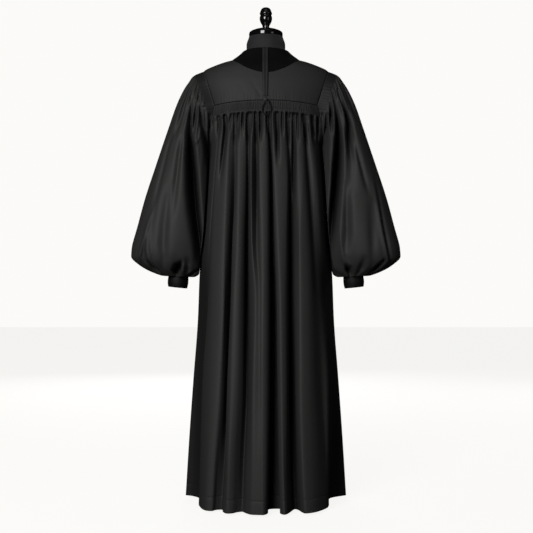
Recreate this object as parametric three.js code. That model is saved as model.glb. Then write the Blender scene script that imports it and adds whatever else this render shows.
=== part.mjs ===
// Geneva gown hung on a limbless dress form and stand.
// Millimetres, +Z up, the back of the gown faces -Y, the floor is Z = 0.
import * as THREE from 'three';

const clothWall = 1.4;
const velvetWall = 1.5;
const seamGap = 0.5;
const sideGap = 0.4;
const roundness = 2.35;
const hemHeight = 8;
const shoulderEnd = { x: 191.6, z: 1319 };
const yokeCorner = { x: 155.6, z: 1203 };
const yokeSeamRise = 11;
const underarmHeight = 1092;
const collarTip = { x: 105.9, z: 1350 };
const shoulderLine = [
  [shoulderEnd.x, shoulderEnd.z],
  [163, 1332.5],
  [136, 1342],
  [collarTip.x, collarTip.z],
];
const backColumns = 111;
const gatherColumns = 4;
const frontColumns = 28;
const sleeveColumns = 44;
const baseThickness = 14;
const baseRadius = 144;
const poleRadius = 16;
const torsoFoot = 760;

// Body of the gown before folding: height, half width, depth behind, depth in front.
const bodyRings = [
  [1388, 64, 62.5, 61],
  [1368, 83, 72, 70],
  [1350, 106, 81, 78],
  [1342, 136, 86, 83],
  [1332.5, 163, 91, 88],
  [1319, 191.6, 96, 94],
  [1300, 205, 102, 100],
  [1280, 210, 107, 106],
  [1203, 190, 119, 119],
  [1183, 187, 124, 121],
  [1092, 176, 143, 136],
  [1000, 182, 160, 150],
  [900, 188, 176, 163],
  [800, 195, 190, 175],
  [700, 205, 203, 186],
  [551, 211, 220, 200],
  [365, 225, 238, 215],
  [180, 238, 252, 226],
  [0, 249, 257, 232],
];

// Dress form under it, with the same columns.
const formRings = [
  [1427, 52.5, 52.5, 52.5],
  [1402, 57.5, 57, 57],
  [1383, 60, 58.5, 58],
  [1363, 79, 67, 65.5],
  [1345, 101, 75.5, 73],
  [1337, 130, 81, 78],
  [1327, 157, 86, 83],
  [1311, 186, 92, 90],
  [1296, 200.5, 98, 96],
  [1276, 205, 102.5, 101],
  [1240, 196, 108, 107],
  [1203, 179, 109, 110],
  [1092, 160, 111, 120],
  [1000, 142, 106, 112],
  [900, 150, 116, 112],
  [820, 164, 124, 116],
  [775, 160, 120, 112],
  [760, 150, 110, 104],
];

// Heights at which the fold tables give x and the inset of the fold line.
const foldHeights = [1150, 980, 795, 628, 370, 130, 8];

// Back folds: column, x at the fold heights, inset from the body at the fold heights.
const backFolds = [
  [5, [-145, -158, -172, -188, -207, -220, -225], [2, 4, 20, 62, 92, 112, 120]],
  [9, [-138, -154, -168, -174, -191, -198, -202], [3, 6, 22, 42, 76, 112, 126]],
  [13, [-134, -151, -163.5, -169, -188, -195, -199], [0, 0, 4, 10, 24, 36, 40]],
  [16, [-128, -148, -154, -158, -163, -171, -176], [0, 0, 0, 0, 0, 0, 0]],
  [21, [-108, -116, -122, -124, -134, -150, -156], [1, 3, 5, 6, 8, 9, 9]],
  [23, [-102, -105, -111, -116, -122, -138, -146], [6, 15, 20, 24, 28, 28, 27]],
  [27, [-91, -92, -98, -102, -112, -121, -128], [9, 36, 54, 62, 66, 46, 40]],
  [30, [-88, -89.5, -97.5, -102, -112, -118, -124], [3, 8, 11, 12, 14, 16, 16]],
  [32, [-82, -82, -84, -94, -101, -108, -112], [0, 0, 0, 0, 0, 0, 0]],
  [34, [-74, -70, -73, -78, -84, -94, -97], [1, 4, 5, 5, 6, 8, 8]],
  [37, [-62, -60, -63, -65, -68, -78, -80], [3, 14, 20, 24, 26, 28, 28]],
  [41, [-52, -52.5, -55, -56, -56, -65, -68], [9, 36, 56, 64, 54, 44, 34]],
  [44, [-47, -47, -47, -44, -46, -54, -56], [3, 6, 14, 24, 28, 20, 16]],
  [46, [-42, -43, -41, -31, -37, -40, -42], [0, 0, 2, 4, 4, 2, 2]],
  [50, [-29, -26.5, -27, -19, -18.4, -24, -24], [8, 36, 20, 6, 4, 0, 0]],
  [53, [-20, -19, -17, -12, -12, -14, -14], [1, 2, 4, 1, 0, 0, 0]],
  [55, [-10, -12, -8.5, -6, -6, -8, -8], [0, 0, 0, 0, 0, 0, 0]],
  [57, [0, 3, 4, 4, 3, 1, -1], [1, 3, 5, 6, 6, 6, 6]],
  [59, [4, 11, 11.5, 12, 11, 8, 6], [4, 16, 20, 22, 24, 24, 24]],
  [63, [7, 14, 15.5, 15.5, 14.5, 13, 10], [9, 48, 56, 70, 78, 76, 70]],
  [66, [13, 22, 28, 35, 40, 43, 45], [9, 50, 56, 72, 80, 78, 72]],
  [70, [15, 21, 26, 31.5, 34.5, 38, 41], [3, 8, 11, 13, 14, 16, 18]],
  [72, [20, 26, 35, 42, 45, 49, 53], [0, 0, 0, 0, 0, 0, 0]],
  [76, [38, 62, 59, 57, 58, 57, 60], [1, 4, 6, 6, 6, 6, 6]],
  [80, [55, 67.5, 65, 64.5, 65, 66, 69], [3, 14, 20, 22, 24, 26, 26]],
  [83, [66, 71.5, 71.5, 71.5, 73, 80, 86], [9, 38, 56, 70, 74, 68, 62]],
  [86, [77, 80, 82, 81, 83, 89, 96], [4, 30, 40, 44, 56, 52, 46]],
  [89, [88, 91, 93, 90, 90, 97.5, 104], [2, 9, 13, 18, 20, 20, 20]],
  [91, [98, 106, 99, 100, 100, 106, 113], [0, 0, 2, 2, 2, 2, 2]],
  [94, [108, 114, 117, 122, 122, 128, 134], [0, 0, 0, 0, 0, 0, 0]],
  [96, [112, 121, 130, 136, 140, 149, 154], [2, 6, 6, 6, 6, 6, 6]],
  [99, [117, 128, 141, 151, 164, 176, 180], [8, 24, 28, 26, 24, 26, 28]],
  [102, [126, 144, 152, 165, 184, 184, 187], [1, 10, 24, 34, 18, 30, 52]],
  [106, [140, 155, 166, 184, 190, 195, 197], [2, 6, 22, 62, 74, 112, 136]],
];

// Front folds from the centre front out to the side, with the same columns.
const frontLeftFolds = [
  [4, [20, 21, 22, 23, 24, 25, 26], [0, 0, 0, 0, 0, 1, 2]],
  [8, [47, 49, 52, 55, 60, 63, 64], [0, 6, 14, 22, 34, 44, 50]],
  [12, [70, 74, 80, 85, 91, 95, 97], [0, 0, 0, 0, 2, 3, 4]],
  [16, [90, 96, 104, 112, 121, 127, 129], [0, 4, 10, 18, 28, 38, 42]],
  [20, [114, 122, 133, 142, 152, 160, 163], [0, 0, 0, 0, 0, 2, 4]],
  [24, [138, 149, 162, 173, 185, 195, 198], [0, 2, 6, 12, 26, 40, 44]],
];
const frontRightFolds = [
  [4, [24, 25, 27, 28, 30, 31, 31], [0, 0, 0, 0, 0, 0, 0]],
  [8, [52, 55, 59, 63, 68, 72, 73], [0, 4, 12, 24, 38, 48, 52]],
  [12, [73, 77, 84, 90, 97, 102, 104], [0, 0, 0, 0, 2, 4, 5]],
  [16, [95, 101, 109, 117, 126, 132, 134], [0, 2, 7, 14, 26, 34, 38]],
  [20, [120, 128, 138, 148, 158, 166, 169], [0, 0, 0, 0, 0, 1, 2]],
  [24, [140, 151, 165, 176, 188, 197, 200], [0, 3, 7, 14, 28, 44, 50]],
];

// Rows of the skirt: height at the centre, height at the edge, gather height behind.
const skirtRows = [
  [1213.5, 1202.5, 1.2],
  [1184, 1172, 2.2],
  [1150, 1144, 4],
  [1084, 1084, 3.4],
  [980, 980, 1.6],
  [795, 795, 0],
  [628, 628, 0],
  [370, 370, 0],
  [130, 130, 0],
  [hemHeight, hemHeight, 0],
];

// Armhole below the yoke: height, distance from the side line.
const armholeSides = [
  [1203, 77],
  [1172, 70],
  [1144, 58],
  [1115, 38],
  [1100, 18],
  [1092, sideGap],
];

// Sleeve rings: outer x and z, inner x and z, half depth, gather height.
const sleeveRings = [
  [192, 1319, 172, 1092, 77, 1.2],
  [219, 1309, 177, 1082, 88, 2.4],
  [246, 1276, 175, 1062, 94, 4],
  [275, 1219, 172, 1035, 98, 4],
  [300, 1148, 171, 1000, 100, 2.6],
  [340, 1030, 171, 925, 103, 0.6],
  [375, 923, 172, 852, 106, 0],
  [397, 842, 174, 795, 108, 0],
  [415, 775, 180, 755, 104, 1],
  [417, 748, 188, 728, 95, 2],
  [393, 722, 196, 707, 78, 3],
  [352, 699, 208, 692, 57, 3],
  [318, 688, 224, 684, 42, 2],
  [303, 690, 239, 688, 31, 0.8],
];

// Creases of the sleeves: column, turn in degrees from the outer line, and depth, ring by ring.
const leftSleeveFolds = [
  [7, [50, 50, 47, 42, 38, 33, 31, 31, 32, 33, 35, 40, 45, 47]],
  [11, [70, 66, 68, 83, 91, 110, 122, 131, 143, 150, 130, 110, 96, 90]],
  [17, [120, 112, 112, 120, 128, 142, 152, 156, 160, 164, 152, 142, 136, 132]],
];
const rightSleeveFolds = [
  [7, [50, 48, 44, 40, 37, 36, 38, 42, 46, 46, 45, 46, 47, 47]],
  [11, [72, 74, 84, 96, 106, 122, 138, 140, 140, 138, 126, 110, 96, 90]],
  [17, [120, 114, 120, 130, 138, 149, 158, 160, 160, 160, 152, 142, 136, 132]],
];
const leftCreaseDepths = [
  [7, [2, 5, 9, 6, 2, 0, 0, 0, 4, 6, 4, 0, 0, 0]],
  [11, [2, 6, 16, 32, 42, 46, 44, 42, 34, 18, 6, 0, 0, 0]],
  [17, [1, 4, 7, 6, 3, 0, 0, 0, 0, 0, 0, 0, 0, 0]],
];
const rightCreaseDepths = [
  [7, [2, 5, 8, 8, 5, 1, 0, 0, 4, 5, 4, 0, 0, 0]],
  [11, [2, 8, 20, 32, 38, 38, 36, 28, 18, 10, 4, 0, 0, 0]],
  [17, [1, 4, 6, 6, 5, 1, 0, 0, 0, 0, 0, 0, 0, 0]],
];

// Cuffs: tilt, top and foot of the middle line, radii down it.
const cuffTilt = 6;
const cuffTop = { x: 271, z: 688.2 };
const cuffFoot = { x: 273.5, z: 652 };
const cuffRadii = [31, 32, 29.5];

// Collar edges, from the centre back round to the centre front, as x and z behind, then in front.
const collarFootBehind = [
  [0, 1301],
  [20, 1303],
  [36, 1308],
  [52, 1314],
  [67.5, 1322],
  [84, 1333],
  [96, 1340.5],
  [103, 1346.5],
  [105.9, 1350],
];
const collarFootInFront = [
  [105.9, 1350],
  [103, 1347],
  [97, 1343],
  [86, 1338.5],
  [70, 1335],
  [52, 1331],
  [34, 1329],
  [17, 1328],
  [1, 1327.5],
];
const collarHeadBehind = 1383;
const collarHeadInFront = 1370;

const strap = { x: -1, halfWidth: 9.5, head: 1381, foot: 1226, wall: 1.6 };
const button = { x: -2, z: 1216.5, radius: 7, rise: 4.5 };
const loop = { radius: 1.7, lift: 5.2, steps: 30, sides: 8 };
const loopPoints = [
  [-3, 1207.5],
  [-6.5, 1200],
  [-10, 1190],
  [-10.6, 1182],
  [-7, 1173],
  [0, 1168.5],
  [8, 1171],
  [14.5, 1179],
  [16.2, 1188],
  [13.5, 1198],
  [9.6, 1206],
  [8.2, 1213],
];

// Turned parts: radius, height.
const neckCapProfile = [
  [0, 1427],
  [52, 1427],
  [52.3, 1437],
  [51.6, 1441.5],
  [47, 1445],
  [36, 1449.5],
  [22, 1453.5],
  [10.2, 1455],
  [0, 1455],
];
const finialProfile = [
  [0, 1455],
  [10.2, 1455],
  [10.4, 1466],
  [12.6, 1471],
  [16.6, 1476.5],
  [19, 1482.5],
  [19.6, 1487],
  [18.6, 1492],
  [16.6, 1495],
  [18.6, 1498.5],
  [19, 1501.5],
  [17, 1505],
  [15.8, 1508],
  [13, 1514],
  [7.5, 1519],
  [0, 1520.5],
];

const gownCloth = new THREE.MeshStandardMaterial({ color: 0x1b1b1e, roughness: 0.85, metalness: 0 });
const velvetPile = new THREE.MeshStandardMaterial({ color: 0x0b0b0d, roughness: 0.95, metalness: 0 });
const formJersey = new THREE.MeshStandardMaterial({ color: 0x39393b, roughness: 0.9, metalness: 0 });
const turnedGloss = new THREE.MeshStandardMaterial({ color: 0x0a0a0b, roughness: 0.2, metalness: 0 });
const standPaint = new THREE.MeshStandardMaterial({ color: 0x151516, roughness: 0.45, metalness: 0 });

function between(values, heights, z) {
  if (z >= heights[0]) {
    return values[0];
  }
  for (let i = 1; i < heights.length; i += 1) {
    if (z >= heights[i]) {
      const share = (heights[i - 1] - z) / (heights[i - 1] - heights[i]);
      return values[i - 1] + (values[i] - values[i - 1]) * share;
    }
  }
  return values[values.length - 1];
}

function column(table, index) {
  return table.map((row) => row[index]);
}

function ringAt(rings, z, side) {
  const heights = column(rings, 0);
  return {
    halfWidth: between(column(rings, 1), heights, z),
    depth: between(column(rings, side < 0 ? 2 : 3), heights, z),
  };
}

// Distance in y of the body from its middle plane at x and z; side is -1 behind, 1 in front.
function bodyDepth(x, z, side) {
  const { halfWidth, depth } = ringAt(bodyRings, z, side);
  const share = Math.min(1, Math.abs(x) / halfWidth);
  return depth * (1 - share ** roundness) ** (1 / roundness);
}

function bodyWidth(y, z, side) {
  const { halfWidth, depth } = ringAt(bodyRings, z, side);
  const share = Math.min(1, Math.abs(y) / depth);
  return halfWidth * (1 - share ** roundness) ** (1 / roundness);
}

function bodyPoint(x, z, side, inset = 0) {
  const y = Math.max(seamGap, bodyDepth(x, z, side) - inset);
  return new THREE.Vector3(x, side * y, z);
}

// Edge of the gown's body where the sleeve is sewn in, and the side seam below it.
function edgePoint(z, side) {
  if (z >= yokeCorner.z) {
    const share = (shoulderEnd.z - z) / (shoulderEnd.z - yokeCorner.z);
    const x = shoulderEnd.x + (yokeCorner.x - shoulderEnd.x) * share;
    return { x, y: side * Math.max(seamGap, bodyDepth(x, z, side)) };
  }
  const y = z <= underarmHeight
    ? sideGap
    : between(column(armholeSides, 1), column(armholeSides, 0), z);
  return { x: bodyWidth(y, z, side), y: side * y };
}

function smoothPlan(points, counts, z) {
  const curve = new THREE.CatmullRomCurve3(points, false, 'centripetal');
  const found = [];
  counts.forEach((count, i) => {
    for (let step = 0; step < count; step += 1) {
      found.push(curve.getPoint((i + step / count) / (points.length - 1)));
    }
  });
  found.push(points[points.length - 1].clone());
  found.forEach((point, i) => {
    point.z = z(point, i);
  });
  return found;
}

// One row of cloth across the body through its fold lines, from the first edge to the last.
function skirtRow(folds, columns, [centre, edge, gather], side, ends) {
  const lines = folds.map(([at, xs, insets]) => {
    const reach = Math.abs(edgePoint(edge, side).x) / Math.abs(edgePoint(foldHeights[0], side).x);
    const spread = centre > foldHeights[0] ? reach : 1;
    const x = between(xs, foldHeights, centre) * spread;
    const inset = between(insets, foldHeights, centre) * (centre > 1200 ? 0.2 : 1);
    return { at, x, inset };
  });
  const reach = Math.abs(ends.right.x);
  const rowHeight = (point) => centre + (edge - centre) * Math.min(1, (point.x / reach) ** 2);
  const points = [
    new THREE.Vector3(ends.left.x, ends.left.y, 0),
    ...lines.map(({ x, inset }) => bodyPoint(x, rowHeight({ x }), side, inset).setZ(0)),
    new THREE.Vector3(ends.right.x, ends.right.y, 0),
  ];
  const marks = [0, ...lines.map(({ at }) => at), columns];
  const counts = marks.slice(1).map((mark, i) => mark - marks[i]);
  const row = smoothPlan(points, counts, rowHeight);
  row.forEach((point, i) => {
    const calm = Math.min(1, i / gatherColumns, (columns - i) / gatherColumns);
    point.y += side * gather * calm * Math.cos((2 * Math.PI * i) / gatherColumns);
  });
  return row;
}

// Closed wall of cloth: the given points are its outer face, rows down, columns anticlockwise from above.
function clothGeometry(grid, wall, wraps) {
  const rows = grid.length;
  const columns = grid[0].length;
  const lastColumn = wraps ? columns : columns - 1;
  const outerAt = (r, c) => r * columns + (c % columns);
  const outer = grid.flat();
  const normals = outer.map(() => new THREE.Vector3());
  const faces = [];
  const addFace = (a, b, c) => {
    const across = new THREE.Vector3().subVectors(outer[b], outer[a]);
    const down = new THREE.Vector3().subVectors(outer[c], outer[a]);
    const normal = across.cross(down);
    [a, b, c].forEach((i) => normals[i].add(normal));
    faces.push([a, b, c]);
  };
  for (let r = 0; r < rows - 1; r += 1) {
    for (let c = 0; c < lastColumn; c += 1) {
      const [a, b] = [outerAt(r, c), outerAt(r, c + 1)];
      const [d, e] = [outerAt(r + 1, c), outerAt(r + 1, c + 1)];
      if (outer[d].distanceTo(outer[b]) <= outer[a].distanceTo(outer[e])) {
        addFace(a, d, b);
        addFace(b, d, e);
      } else {
        addFace(a, d, e);
        addFace(a, e, b);
      }
    }
  }
  const inner = outer.map((point, i) => {
    const normal = normals[i].normalize();
    if (Math.abs(point.y) <= sideGap && point.z <= underarmHeight) {
      normal.setY(0).normalize(); // square across the side seam
    }
    return point.clone().addScaledVector(normal, -wall);
  });
  const under = outer.length;
  const index = [];
  faces.forEach(([a, b, c]) => {
    index.push(a, b, c, a + under, c + under, b + under);
  });
  const stitch = (a, b) => {
    index.push(a, b, b + under, a, b + under, a + under);
  };
  for (let c = 0; c < lastColumn; c += 1) {
    stitch(outerAt(0, c), outerAt(0, c + 1));
    stitch(outerAt(rows - 1, c + 1), outerAt(rows - 1, c));
  }
  if (!wraps) {
    for (let r = 0; r < rows - 1; r += 1) {
      stitch(outerAt(r + 1, 0), outerAt(r, 0));
      stitch(outerAt(r, columns - 1), outerAt(r + 1, columns - 1));
    }
  }
  const geometry = new THREE.BufferGeometry();
  const flat = [...outer, ...inner].flatMap((point) => [point.x, point.y, point.z]);
  geometry.setAttribute('position', new THREE.Float32BufferAttribute(flat, 3));
  geometry.setIndex(index);
  geometry.computeVertexNormals();
  return geometry;
}

// Closed solid of stacked rings, capped flat at both ends; rings go up, points anticlockwise.
function stackedGeometry(rings) {
  const count = rings[0].length;
  const points = rings.flat();
  const middle = (ring) => {
    const sum = ring.reduce((total, point) => total.add(point), new THREE.Vector3());
    return sum.divideScalar(count);
  };
  const foot = points.length;
  points.push(middle(rings[0]), middle(rings[rings.length - 1]));
  const index = [];
  for (let c = 0; c < count; c += 1) {
    const next = (c + 1) % count;
    index.push(foot, next, c);
    const top = (rings.length - 1) * count;
    index.push(foot + 1, top + c, top + next);
    for (let r = 0; r < rings.length - 1; r += 1) {
      const [a, b] = [r * count + c, r * count + next];
      const [d, e] = [a + count, b + count];
      index.push(a, b, e, a, e, d);
    }
  }
  const geometry = new THREE.BufferGeometry();
  const flat = points.flatMap((point) => [point.x, point.y, point.z]);
  geometry.setAttribute('position', new THREE.Float32BufferAttribute(flat, 3));
  geometry.setIndex(index);
  geometry.computeVertexNormals();
  return geometry;
}

function part(name, geometry, material) {
  const mesh = new THREE.Mesh(geometry, material);
  mesh.name = name;
  return mesh;
}

function alongPath(points, count) {
  const flat = points.map(([x, z]) => new THREE.Vector3(x, 0, z));
  const curve = new THREE.CatmullRomCurve3(flat, false, 'centripetal');
  return curve.getSpacedPoints(count).map((point) => [point.x, point.z]);
}

// Patch of the upper body between two edges given in x and z; the rows crowd towards the top.
function upperPatch(head, foot, rows, side, crowding) {
  const grid = [];
  for (let r = 0; r <= rows; r += 1) {
    const share = (r / rows) ** crowding;
    grid.push(head.map(([x, z], i) => {
      const [footX, footZ] = foot[i];
      return bodyPoint(x + (footX - x) * share, z + (footZ - z) * share, side);
    }));
  }
  return grid;
}


function buildYoke() {
  const shoulder = alongPath(shoulderLine, 6);
  const crescent = alongPath(collarFootBehind, 8).reverse();
  const half = [...shoulder.slice(0, -1), ...crescent.map(([x, z]) => [x, z - 2 * seamGap])];
  const head = [...half.map(([x, z]) => [-x, z]), ...half.slice(0, -1).reverse()];
  const foot = head.map((_, i) => {
    const x = yokeCorner.x * ((2 * i) / (head.length - 1) - 1);
    return [x, yokeCorner.z + yokeSeamRise * (1 - (x / yokeCorner.x) ** 2) + seamGap];
  });
  return part('yoke', clothGeometry(upperPatch(head, foot, 5, -1, 2.1), clothWall), gownCloth);
}

// Collar round the neck from one centre front edge to the other, by way of the back.
function buildCollar() {
  const footBehind = alongPath(collarFootBehind, 9);
  const footInFront = alongPath(collarFootInFront, 9);
  const half = [
    ...footBehind.map(([x, z]) => ({ x, z, side: -1 })),
    ...footInFront.slice(1).map(([x, z]) => ({ x, z, side: 1 })),
  ];
  const turnOf = (i) => (Math.PI * i) / (half.length - 1);
  const grid = [0, 0.33, 0.67, 1].map((share) => {
    const oneSide = half.map(({ x, z, side }, i) => {
      const turn = turnOf(i);
      const level = collarHeadBehind
        + (collarHeadInFront - collarHeadBehind) * (1 - Math.cos(turn)) / 2;
      const { halfWidth, depth } = ringAt(bodyRings, level, turn < Math.PI / 2 ? -1 : 1);
      const open = Math.max(1, halfWidth * Math.abs(Math.sin(turn)) ** (2 / roundness));
      const headY = -Math.sign(Math.cos(turn)) * depth * Math.abs(Math.cos(turn)) ** (2 / roundness);
      const footY = side * bodyDepth(x, z, side);
      const spotX = open + (x - open) * share;
      const spotZ = level + (z - level) * share;
      const straightY = headY + (footY - headY) * share;
      const reach = bodyDepth(spotX, spotZ, straightY < 0 ? -1 : 1);
      const y = share === 0 ? headY : Math.sign(straightY) * Math.max(Math.abs(straightY), reach);
      return new THREE.Vector3(i === 0 ? 0 : spotX, y, spotZ);
    });
    const left = oneSide.map((point) => new THREE.Vector3(-point.x, point.y, point.z));
    return [...left.reverse(), ...oneSide.slice(1)];
  });
  return part('collar', clothGeometry(grid, velvetWall), velvetPile);
}

function buildBackPanel() {
  const grid = skirtRows.map((row) => {
    const { x, y } = edgePoint(row[1], -1);
    return skirtRow(backFolds, backColumns, row, -1, { left: { x: -x, y }, right: { x, y } });
  });
  return part('back_panel', clothGeometry(grid, clothWall), gownCloth);
}

// Front half from the shoulder and collar down to the hem; sign is -1 left, 1 right.
function buildFront(name, folds, sign) {
  const shoulder = alongPath(shoulderLine, 10);
  const neckline = alongPath(collarFootInFront, 18);
  const head = [...shoulder.slice(0, -1), ...neckline.map(([x, z]) => [x, z - 2 * seamGap])].reverse();
  const chest = skirtRow(folds, frontColumns, [1203.5, 1203.5, 0], 1, {
    left: { x: seamGap, y: bodyDepth(seamGap, 1203.5, 1) },
    right: edgePoint(1203.5, 1),
  });
  const upper = upperPatch(head, chest.map(({ x, z }) => [x, z]), 5, 1, 2.1);
  const lower = skirtRows.slice(2).map(([, edge]) => skirtRow(folds, frontColumns, [edge, edge, 0], 1, {
    left: { x: seamGap, y: bodyDepth(seamGap, edge, 1) },
    right: edgePoint(edge, 1),
  }));
  const grid = [...upper, ...lower].map((row) => {
    const placed = row.map((point) => new THREE.Vector3(sign * point.x, point.y, point.z));
    return sign > 0 ? placed.reverse() : placed;
  });
  return part(name, clothGeometry(grid, clothWall), gownCloth);
}

// Turn of each sleeve column at a ring, through the fold lines of the table.
function sleeveTurns(folds, ring) {
  const half = sleeveColumns / 2;
  const marks = [0, ...folds.map(([at]) => at), half, sleeveColumns];
  const turns = [0, ...folds.map(([, values]) => values[ring]), 180, 360];
  const found = [];
  for (let i = 1; i < marks.length; i += 1) {
    const count = marks[i] - marks[i - 1];
    for (let step = 0; step < count; step += 1) {
      found.push(turns[i - 1] + ((turns[i] - turns[i - 1]) * step) / count);
    }
  }
  return found.map((degrees) => THREE.MathUtils.degToRad(degrees));
}

function buildSleeve(name, folds, depths, sign) {
  const grid = sleeveRings.map(([outerX, outerZ, innerX, innerZ, halfDepth, gather], ring) => {
    const row = sleeveTurns(folds, ring).map((turn, i) => {
      const behind = turn <= Math.PI;
      const crease = depths.reduce((total, [at, values]) => {
        const mirrorAt = sleeveColumns - at;
        const near = Math.max(0, 1 - Math.abs(i - at) / 2.5);
        const nearFront = 0.5 * Math.max(0, 1 - Math.abs(i - mirrorAt) / 2.5);
        return total + values[ring] * (behind ? near : nearFront);
      }, 0);
      const ripple = gather * Math.cos(Math.PI * i);
      const swell = 1 - crease / halfDepth + ripple / halfDepth;
      const middleX = (outerX + innerX) / 2;
      const middleZ = (outerZ + innerZ) / 2;
      const y = -Math.sin(turn) * halfDepth * swell;
      let x = middleX + ((outerX - innerX) / 2) * Math.cos(turn) * (1 + ripple / 200);
      const z = middleZ + ((outerZ - innerZ) / 2) * Math.cos(turn);
      if (ring === 0) {
        const edge = edgePoint(Math.min(shoulderEnd.z, Math.max(underarmHeight, z)), behind ? -1 : 1);
        const wave = gather * Math.cos(Math.PI * i);
        const waveY = Math.sin(turn) * wave;
        return new THREE.Vector3(edge.x + 2 * seamGap, edge.y - waveY, z + Math.cos(turn) * wave);
      }
      if (z < 1240) {
        const keepOut = bodyWidth(y, z, y < 0 ? -1 : 1) + 2.5;
        const within = Math.abs(y) < ringAt(bodyRings, z, y < 0 ? -1 : 1).depth;
        x = within ? Math.max(x, keepOut) : x;
      }
      return new THREE.Vector3(x, y, z);
    });
    const placed = row.map((point) => new THREE.Vector3(sign * point.x, point.y, point.z));
    return sign > 0 ? placed.reverse() : placed;
  });
  return part(name, clothGeometry(grid, clothWall, true), gownCloth);
}

function buildCuff(name, sign) {
  const lean = THREE.MathUtils.degToRad(cuffTilt);
  const grid = cuffRadii.map((radius, r) => {
    const share = r / (cuffRadii.length - 1);
    const middleX = cuffTop.x + (cuffFoot.x - cuffTop.x) * share;
    const middleZ = cuffTop.z + (cuffFoot.z - cuffTop.z) * share;
    const row = [];
    for (let i = 0; i < 20; i += 1) {
      const turn = (2 * Math.PI * i) / 20;
      const out = radius * Math.cos(turn);
      row.push(new THREE.Vector3(
        sign * (middleX + out),
        -radius * Math.sin(turn),
        middleZ + out * Math.sin(lean) * share,
      ));
    }
    return sign > 0 ? row.reverse() : row;
  });
  return part(name, clothGeometry(grid, clothWall, true), gownCloth);
}

function buildStrap() {
  const grid = [];
  for (let r = 0; r <= 12; r += 1) {
    const z = strap.head + (strap.foot - strap.head) * (r / 12) ** 0.9;
    const row = [-1, -0.4, 0.4, 1].map((share) => {
      const x = strap.x + strap.halfWidth * share;
      const rise = 0.6 * (1 - share * share);
      const point = bodyPoint(x, z, -1);
      point.y -= strap.wall + 1 + rise;
      return point;
    });
    grid.push(row);
  }
  return part('back_strap', clothGeometry(grid, strap.wall), gownCloth);
}

function buildButton() {
  const rings = [0, 0.55, 0.85, 1].map((share) => {
    const ring = [];
    const radius = button.radius * Math.sqrt(1 - (share * 0.95) ** 2);
    for (let i = 0; i < 20; i += 1) {
      const turn = (2 * Math.PI * i) / 20;
      const seat = bodyDepth(button.x, button.z, -1) + 3.4;
      ring.push(new THREE.Vector3(
        button.x + radius * Math.cos(turn),
        -(seat + button.rise * share),
        button.z + radius * Math.sin(turn),
      ));
    }
    return ring;
  });
  return part('button', stackedGeometry(rings), gownCloth);
}

function buildLoop() {
  const points = loopPoints.map(([x, z]) => {
    const y = -(bodyDepth(x, z, -1) + loop.lift + loop.radius);
    return new THREE.Vector3(x, y, z);
  });
  const path = new THREE.CatmullRomCurve3(points, false, 'centripetal').getSpacedPoints(loop.steps);
  const rings = path.map((point, i) => {
    const before = path[Math.max(0, i - 1)];
    const after = path[Math.min(path.length - 1, i + 1)];
    const along = new THREE.Vector3().subVectors(after, before).normalize();
    const side = new THREE.Vector3(0, 1, 0).addScaledVector(along, -along.y).normalize();
    const other = new THREE.Vector3().crossVectors(along, side);
    const ring = [];
    for (let k = 0; k < loop.sides; k += 1) {
      const turn = (2 * Math.PI * k) / loop.sides;
      ring.push(point.clone()
        .addScaledVector(side, loop.radius * Math.cos(turn))
        .addScaledVector(other, loop.radius * Math.sin(turn)));
    }
    return ring;
  });
  return part('cord_loop', stackedGeometry(rings), gownCloth);
}

function buildTorso() {
  const rings = [...formRings].reverse().map(([z, halfWidth, behind, before]) => {
    const ring = [];
    for (let i = 0; i < 28; i += 1) {
      const turn = (2 * Math.PI * i) / 28;
      const [c, s] = [Math.cos(turn), Math.sin(turn)];
      const power = z > 1390 ? 1 : 2 / roundness;
      ring.push(new THREE.Vector3(
        Math.sign(c) * halfWidth * Math.abs(c) ** power,
        Math.sign(s) * (s < 0 ? behind : before) * Math.abs(s) ** power,
        z,
      ));
    }
    return ring;
  });
  return part('form_torso', stackedGeometry(rings), formJersey);
}

function turned(profile, segments) {
  const rings = profile.slice(1, -1).map(([radius, z]) => {
    const ring = [];
    for (let i = 0; i < segments; i += 1) {
      const turn = (2 * Math.PI * i) / segments;
      ring.push(new THREE.Vector3(radius * Math.cos(turn), radius * Math.sin(turn), z));
    }
    return ring;
  });
  const geometry = stackedGeometry(rings);
  const positions = geometry.getAttribute('position');
  positions.setZ(positions.count - 2, profile[0][1]);
  positions.setZ(positions.count - 1, profile[profile.length - 1][1]);
  geometry.computeVertexNormals();
  return geometry;
}

const poleProfile = [
  [0, baseThickness],
  [poleRadius, baseThickness],
  [poleRadius, torsoFoot],
  [0, torsoFoot],
];
const baseProfile = [
  [0, 0],
  [baseRadius, 0],
  [baseRadius, baseThickness - 4],
  [baseRadius - 4, baseThickness],
  [0, baseThickness],
];

const model = new THREE.Group();
model.name = 'geneva_gown_on_dress_form';
model.add(
  buildCollar(),
  buildYoke(),
  buildBackPanel(),
  buildFront('front_left', frontLeftFolds, -1),
  buildFront('front_right', frontRightFolds, 1),
  buildSleeve('sleeve_left', leftSleeveFolds, leftCreaseDepths, -1),
  buildSleeve('sleeve_right', rightSleeveFolds, rightCreaseDepths, 1),
  buildCuff('cuff_left', -1),
  buildCuff('cuff_right', 1),
  buildStrap(),
  buildButton(),
  buildLoop(),
  buildTorso(),
  part('form_neck_cap', turned(neckCapProfile, 28), turnedGloss),
  part('form_finial', turned(finialProfile, 18), turnedGloss),
  part('stand_pole', turned(poleProfile, 24), standPaint),
  part('stand_base', turned(baseProfile, 48), standPaint),
);

export default model;
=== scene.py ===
import math

import bmesh
import bpy
import numpy as np
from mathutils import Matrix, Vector, noise


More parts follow.
